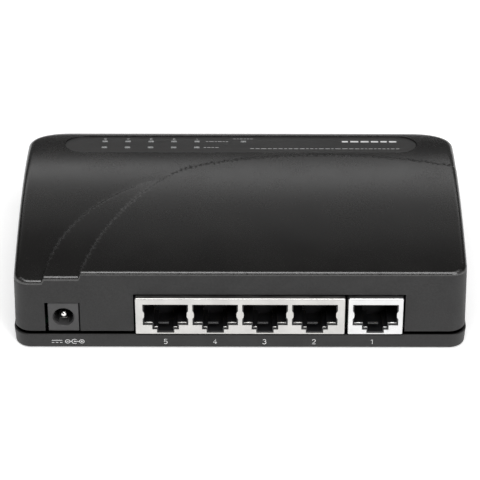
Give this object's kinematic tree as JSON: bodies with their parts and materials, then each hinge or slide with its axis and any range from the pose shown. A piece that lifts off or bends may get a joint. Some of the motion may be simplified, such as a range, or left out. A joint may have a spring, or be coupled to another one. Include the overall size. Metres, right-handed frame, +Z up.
{
  "type": "desktop network switch",
  "caption": "Small desktop network switch with a domed satin black cover on a shallow tray, a shielded row of network ports, a barrel power inlet and a lamp inlay on top.",
  "frame": {"origin": "centre of the bounding box, on the ground under the rubber feet", "axes": "+Z up; -Y towards the port side, +Y towards the lamp side; +X to the right when looking at the ports"},
  "size_m": [0.1282, 0.0774, 0.031],
  "materials": {
    "satin_black_cover": "satin moulded ABS, fine texture on the port side",
    "black_tray": "textured moulded ABS",
    "inlay_film": "satin printed film",
    "clear_acrylic": "clear moulded acrylic",
    "foot_rubber": "matte",
    "case_screw_steel": "zinc plated",
    "label_paper": "satin film",
    "green_board": "solder mask",
    "board_screw_steel": "zinc plated",
    "four_port_shield_tin": "tin plated sheet",
    "four_port_black_nylon": "moulded nylon",
    "single_port_shield_tin": "tin plated sheet",
    "single_port_black_nylon": "moulded nylon",
    "port_1_gold": "gold plated wire",
    "port_2_gold": "gold plated wire",
    "port_3_gold": "gold plated wire",
    "port_4_gold": "gold plated wire",
    "port_5_gold": "gold plated wire",
    "terminal_tin": "tin plated",
    "power_socket_nylon": "moulded nylon",
    "power_pin_nickel": "nickel plated",
    "power_spring_nickel": "nickel plated",
    "power_terminal_tin": "tin plated",
    "chip_epoxy": "moulded epoxy",
    "chip_lead_tin": "tin plated",
    "four_port_transformer_epoxy": "moulded epoxy",
    "single_port_transformer_epoxy": "moulded epoxy",
    "transformer_lead_tin": "tin plated",
    "crystal_can": "satin can",
    "capacitor_sleeve": "shrink sleeve",
    "inductor_ferrite": "ferrite",
    "regulator_epoxy": "moulded epoxy",
    "diode_epoxy": "moulded epoxy",
    "chip_capacitor_ceramic": "fired ceramic",
    "chip_resistor_glaze": "glazed",
    "lamp_lens": "clear lens"
  },
  "bodies": {
    "case": {"top_cover": "satin_black_cover", "base_tray": "black_tray", "lamp_inlay": "inlay_film", "light_pipes": "clear_acrylic", "rubber_feet": "foot_rubber", "case_screws": "case_screw_steel", "rating_label": "label_paper", "circuit_board": "green_board", "board_screws": "board_screw_steel", "four_port_shield": "four_port_shield_tin", "four_port_housing": "four_port_black_nylon", "single_port_shield": "single_port_shield_tin", "single_port_housing": "single_port_black_nylon", "port_terminals": "terminal_tin", "power_socket_body": "power_socket_nylon", "power_socket_pin": "power_pin_nickel", "power_socket_terminals": "power_terminal_tin", "switch_chip": "chip_epoxy", "switch_chip_leads": "chip_lead_tin", "four_port_transformer": "four_port_transformer_epoxy", "single_port_transformer": "single_port_transformer_epoxy", "transformer_leads": "transformer_lead_tin", "crystal": "crystal_can", "electrolytic_capacitors": "capacitor_sleeve", "power_inductor": "inductor_ferrite", "voltage_regulator": "regulator_epoxy", "protection_diode": "diode_epoxy", "chip_capacitors": "chip_capacitor_ceramic", "chip_resistors": "chip_resistor_glaze", "status_lamps": "lamp_lens"},
    "port_1_springs": {"port_1_contacts": "port_1_gold"},
    "port_2_springs": {"port_2_contacts": "port_2_gold"},
    "port_3_springs": {"port_3_contacts": "port_3_gold"},
    "port_4_springs": {"port_4_contacts": "port_4_gold"},
    "port_5_springs": {"port_5_contacts": "port_5_gold"},
    "power_spring": {"power_socket_spring": "power_spring_nickel"}
  },
  "joints": [
    {"name": "port_1_contact_flex", "type": "hinge", "parent": "case", "child": "port_1_springs", "pos_m": [0.038, -0.0371, 0.01615], "axis": [1, 0, 0], "range_deg": [0, 8], "stiffness_Nm_per_rad": 0.4},
    {"name": "port_2_contact_flex", "type": "hinge", "parent": "case", "child": "port_2_springs", "pos_m": [0.02096, -0.0371, 0.01615], "axis": [1, 0, 0], "range_deg": [0, 8], "stiffness_Nm_per_rad": 0.4},
    {"name": "port_3_contact_flex", "type": "hinge", "parent": "case", "child": "port_3_springs", "pos_m": [0.00698, -0.0371, 0.01615], "axis": [1, 0, 0], "range_deg": [0, 8], "stiffness_Nm_per_rad": 0.4},
    {"name": "port_4_contact_flex", "type": "hinge", "parent": "case", "child": "port_4_springs", "pos_m": [-0.00698, -0.0371, 0.01615], "axis": [1, 0, 0], "range_deg": [0, 8], "stiffness_Nm_per_rad": 0.4},
    {"name": "port_5_contact_flex", "type": "hinge", "parent": "case", "child": "port_5_springs", "pos_m": [-0.02096, -0.0371, 0.01615], "axis": [1, 0, 0], "range_deg": [0, 8], "stiffness_Nm_per_rad": 0.4},
    {"name": "power_spring_flex", "type": "hinge", "parent": "case", "child": "power_spring", "pos_m": [-0.0497, -0.0267, 0.0069], "axis": [1, 0, 0], "range_deg": [0, 6], "stiffness_Nm_per_rad": 0.3}
  ]
}
